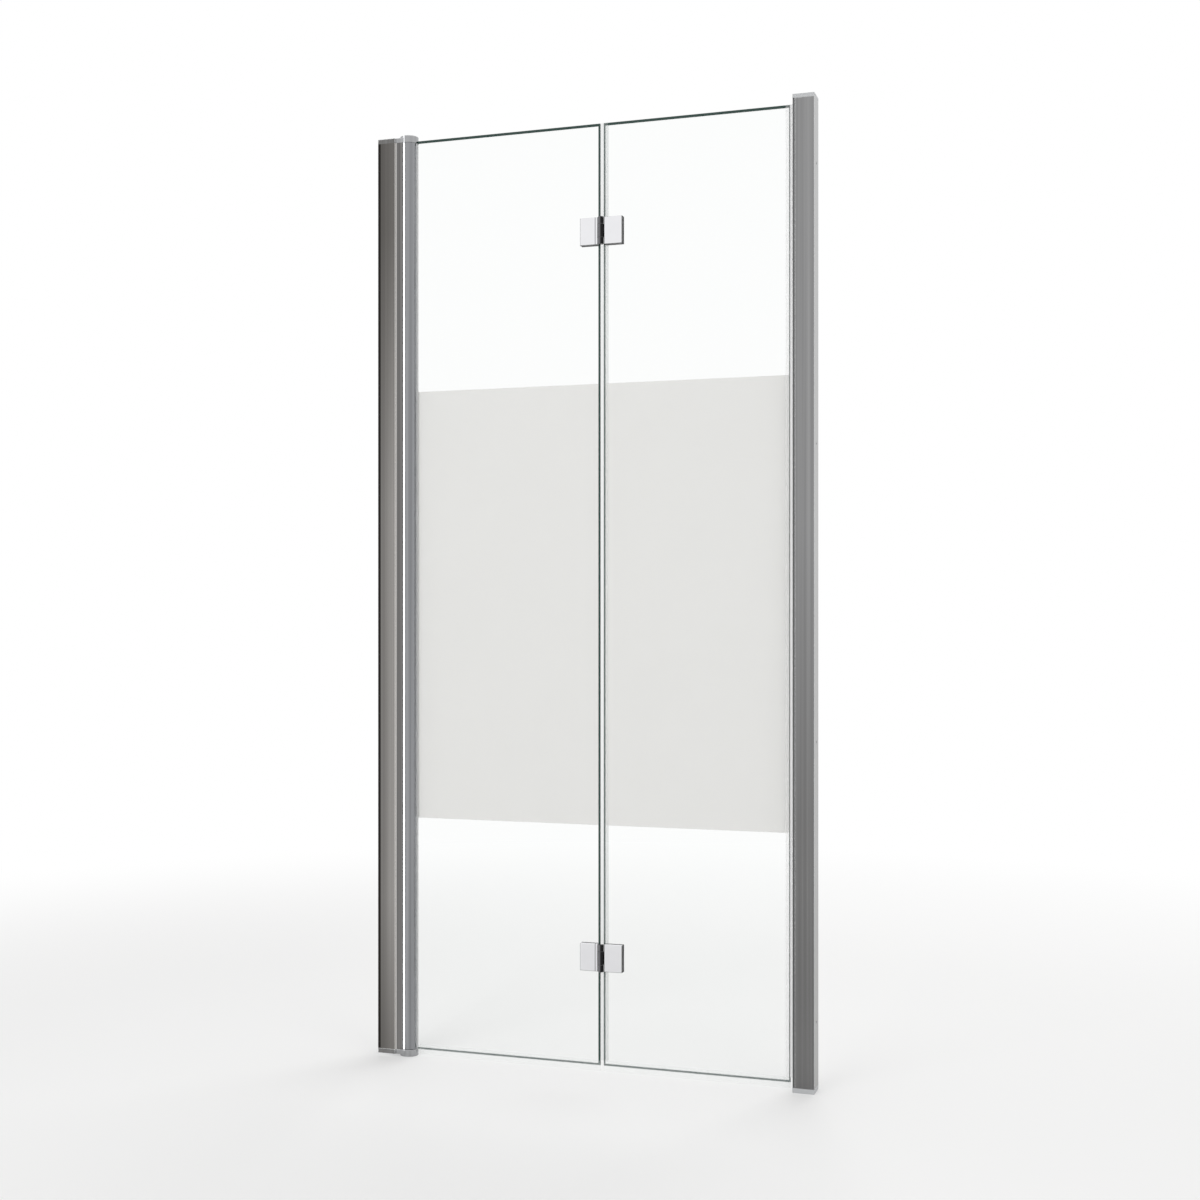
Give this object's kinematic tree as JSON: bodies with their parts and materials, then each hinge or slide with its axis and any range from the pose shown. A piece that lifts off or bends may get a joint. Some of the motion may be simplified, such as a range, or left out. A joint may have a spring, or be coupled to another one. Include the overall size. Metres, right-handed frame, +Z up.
{
  "type": "shower door",
  "caption": "Bi-fold glass shower door for a niche: a round column turns in a wall channel, its frosted-band panes fold flat inwards on glass hinges and close on a magnetic strike.",
  "frame": {"origin": "on the shower tray, midway between the two walls, in the middle plane of the glass", "axes": "+X from the hinge wall to the strike wall, +Y into the shower, +Z up"},
  "size_m": [0.885, 0.04, 1.85],
  "materials": {
    "polished_aluminium": "bright polished and anodised, faint drawing lines along the profile",
    "chrome": "polished chrome plate",
    "stainless_steel": "turned stainless steel",
    "clear_glass": "clear toughened glass with polished, slightly green edges",
    "frosted_glass": "satin frosted, almost opaque",
    "clear_seal": "clear soft plastic",
    "white_seal": "white soft plastic",
    "magnet_strip": "magnetic rubber",
    "nylon": "natural nylon",
    "cap_plastic": "light grey moulded plastic",
    "clear_gasket": "translucent pale grey gasket",
    "black_rubber": "matt black sheet"
  },
  "bodies": {
    "wall_frame": {"bottom_pivot_bracket": "polished_aluminium", "bottom_pivot_pin": "stainless_steel", "bottom_thrust_washer": "nylon", "bracket_screws": "stainless_steel", "hinge_side_adjusting_screws": "stainless_steel", "hinge_wall_channel": "polished_aluminium", "pivot_carrier": "polished_aluminium", "strike_adjusting_screws": "stainless_steel", "strike_bottom_cap": "cap_plastic", "strike_magnet": "magnet_strip", "strike_magnet_holder": "white_seal", "strike_profile": "polished_aluminium", "strike_top_cap": "cap_plastic", "strike_wall_channel": "polished_aluminium", "top_pivot_bracket": "polished_aluminium", "top_pivot_pin": "stainless_steel"},
    "hinge_panel": {"column_bottom_plug": "nylon", "column_top_plug": "nylon", "door_column": "polished_aluminium", "glazing_gasket": "clear_gasket", "hinge_panel_bottom_seal": "clear_seal", "hinge_panel_frosted_band": "frosted_glass", "hinge_panel_glass": "clear_glass", "lower_hinge_fixed_gaskets": "black_rubber", "lower_hinge_fixed_inner_plate": "chrome", "lower_hinge_fixed_leaf": "chrome", "lower_hinge_fixed_screws": "stainless_steel", "lower_hinge_pin": "stainless_steel", "lower_hinge_washers": "nylon", "upper_hinge_fixed_gaskets": "black_rubber", "upper_hinge_fixed_inner_plate": "chrome", "upper_hinge_fixed_leaf": "chrome", "upper_hinge_fixed_screws": "stainless_steel", "upper_hinge_pin": "stainless_steel", "upper_hinge_washers": "nylon"},
    "folding_panel": {"door_magnet": "magnet_strip", "door_magnet_seal": "white_seal", "folding_panel_bottom_seal": "clear_seal", "folding_panel_frosted_band": "frosted_glass", "folding_panel_glass": "clear_glass", "lower_hinge_moving_gaskets": "black_rubber", "lower_hinge_moving_inner_plate": "chrome", "lower_hinge_moving_leaf": "chrome", "lower_hinge_moving_screws": "stainless_steel", "middle_seal_centre": "clear_seal", "middle_seal_lower": "clear_seal", "middle_seal_upper": "clear_seal", "upper_hinge_moving_gaskets": "black_rubber", "upper_hinge_moving_inner_plate": "chrome", "upper_hinge_moving_leaf": "chrome", "upper_hinge_moving_screws": "stainless_steel"}
  },
  "joints": [
    {"name": "door_swing", "type": "hinge", "parent": "wall_frame", "child": "hinge_panel", "pos_m": [-0.383, 0, 0], "axis": [0, 0, 1], "range_deg": [0, 90]},
    {"name": "panel_fold", "type": "hinge", "parent": "hinge_panel", "child": "folding_panel", "pos_m": [0.025, -0.0094, 0], "axis": [0, 0, 1], "range_deg": [-180, 0]}
  ]
}
